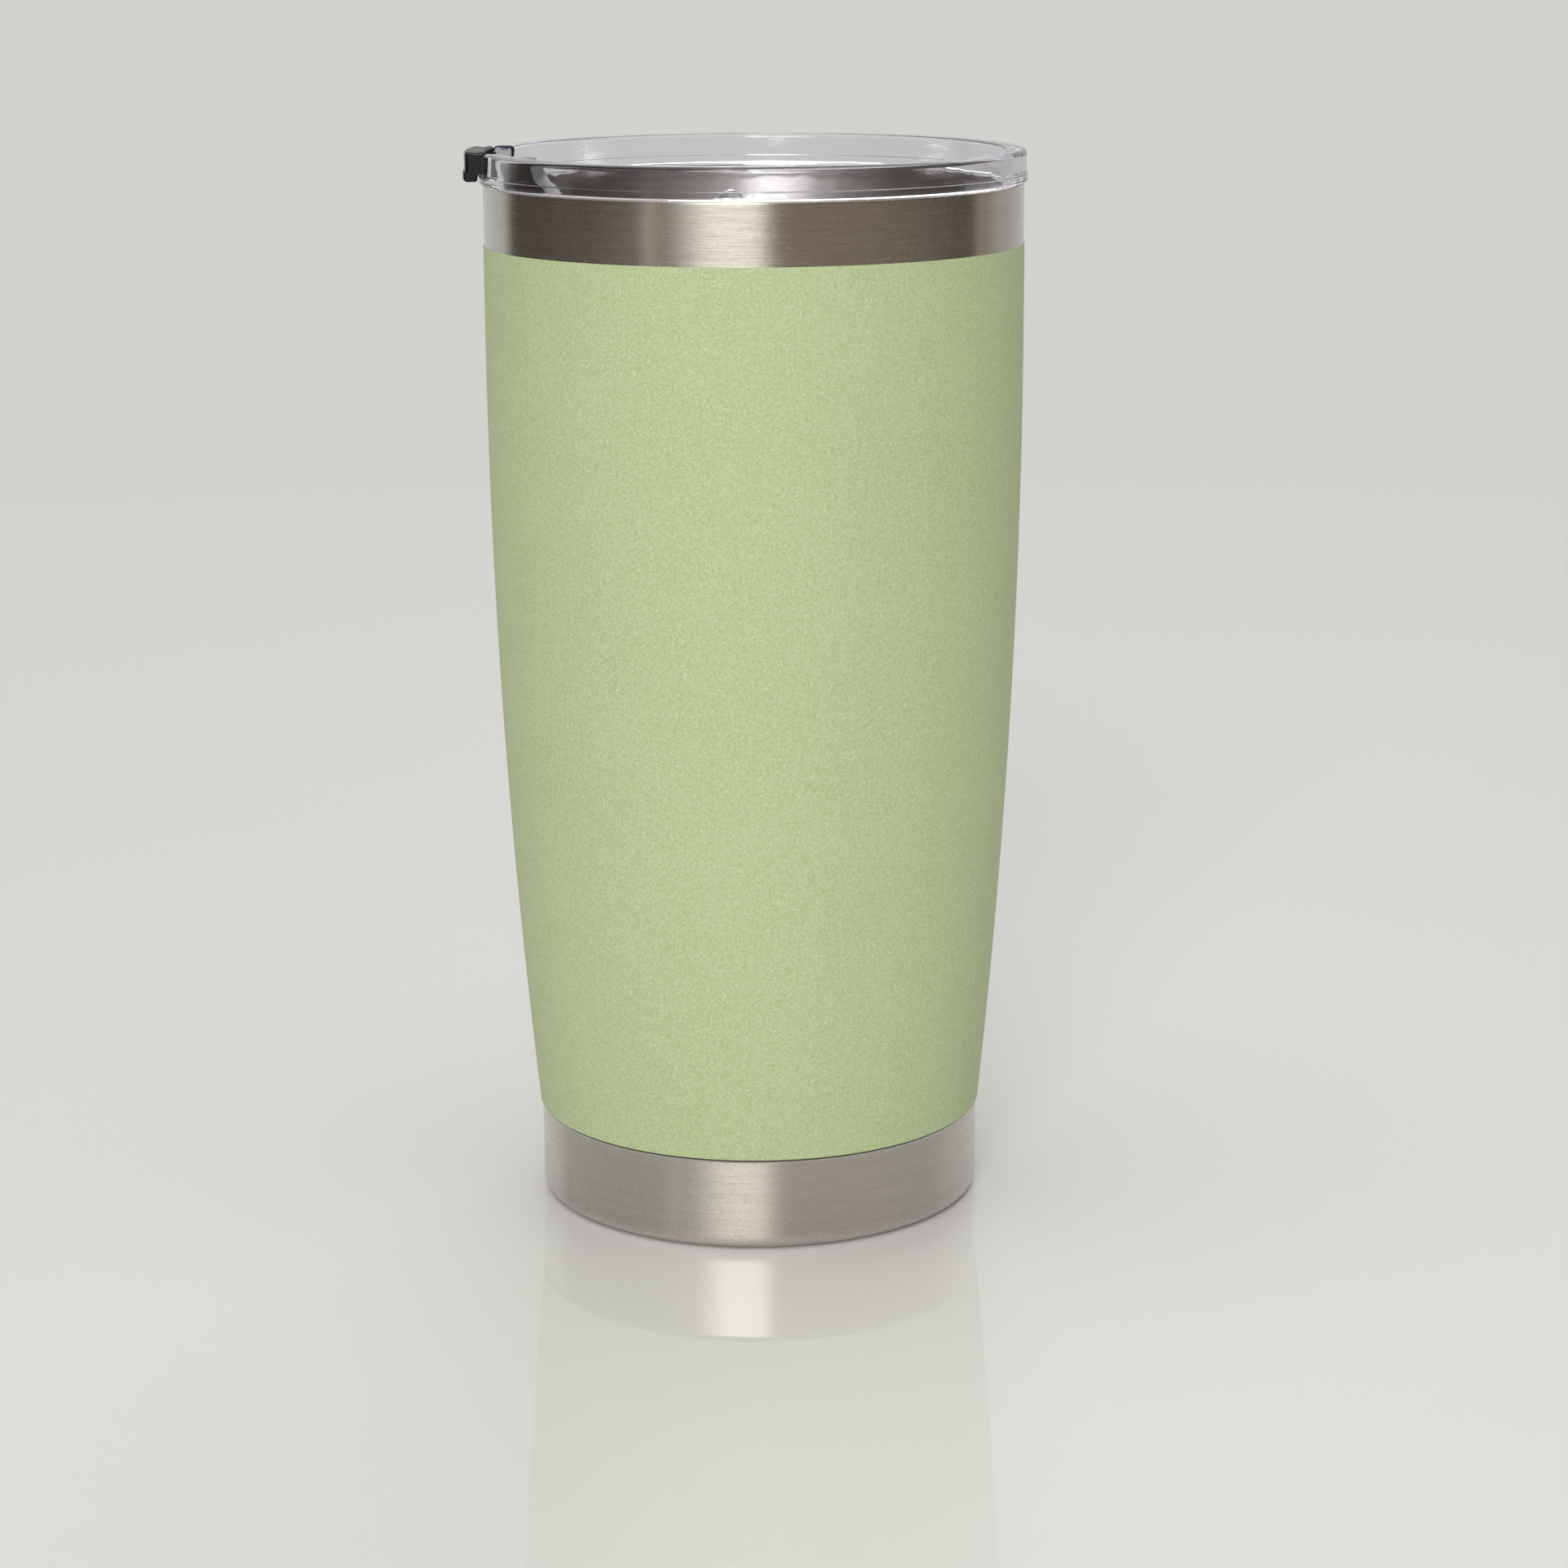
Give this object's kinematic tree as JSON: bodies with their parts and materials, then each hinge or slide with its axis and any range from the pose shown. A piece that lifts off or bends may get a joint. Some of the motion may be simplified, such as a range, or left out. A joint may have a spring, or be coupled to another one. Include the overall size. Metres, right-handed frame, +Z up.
{
  "type": "insulated travel mug",
  "caption": "Double-walled vacuum tumbler with a powder-coated body, bare steel bands and a clear press-in lid with a hinged flip lever.",
  "frame": {"origin": "middle of the foot, on the surface that the mug stands on", "axes": "+Z up along the mug's axis, -X towards the flip lever's finger tip"},
  "size_m": [0.0912, 0.0886, 0.1747],
  "materials": {
    "steel_brushed": "brushed",
    "steel_bright": "electropolished",
    "steel_sheet": "mill",
    "powder_coat": "fine textured powder coat",
    "foil": "bright foil",
    "solder_glass": "fused",
    "getter": "sintered",
    "adhesive": "matte",
    "clear_plastic": "clear",
    "seal_silicone": "translucent silicone",
    "black_plastic": "satin",
    "black_silicone": "matte silicone"
  },
  "bodies": {
    "cup": {"outer_shell": "steel_brushed", "inner_vessel": "steel_bright", "inner_bottom": "steel_bright", "foil_wrap": "foil", "powder_coat": "powder_coat", "base_plate": "steel_sheet", "vacuum_seal_bead": "solder_glass", "getter_clip": "steel_sheet", "getter_pellet": "getter", "base_cover": "steel_brushed", "cover_adhesive": "adhesive"},
    "lid": {"lid_body": "clear_plastic", "lid_gasket": "seal_silicone", "hinge_pin": "steel_bright"},
    "lever": {"flip_lever": "black_plastic", "sip_plug": "black_silicone", "vent_plug": "black_silicone"}
  },
  "joints": [
    {"name": "lid_lift", "type": "slide", "parent": "cup", "child": "lid", "axis": [0, 0, 1], "range_m": [0, 0.06]},
    {"name": "lever_flip", "type": "hinge", "parent": "lid", "child": "lever", "pos_m": [-0.004, 0, 0.16465], "axis": [0, 1, 0], "range_deg": [0, 160]}
  ]
}
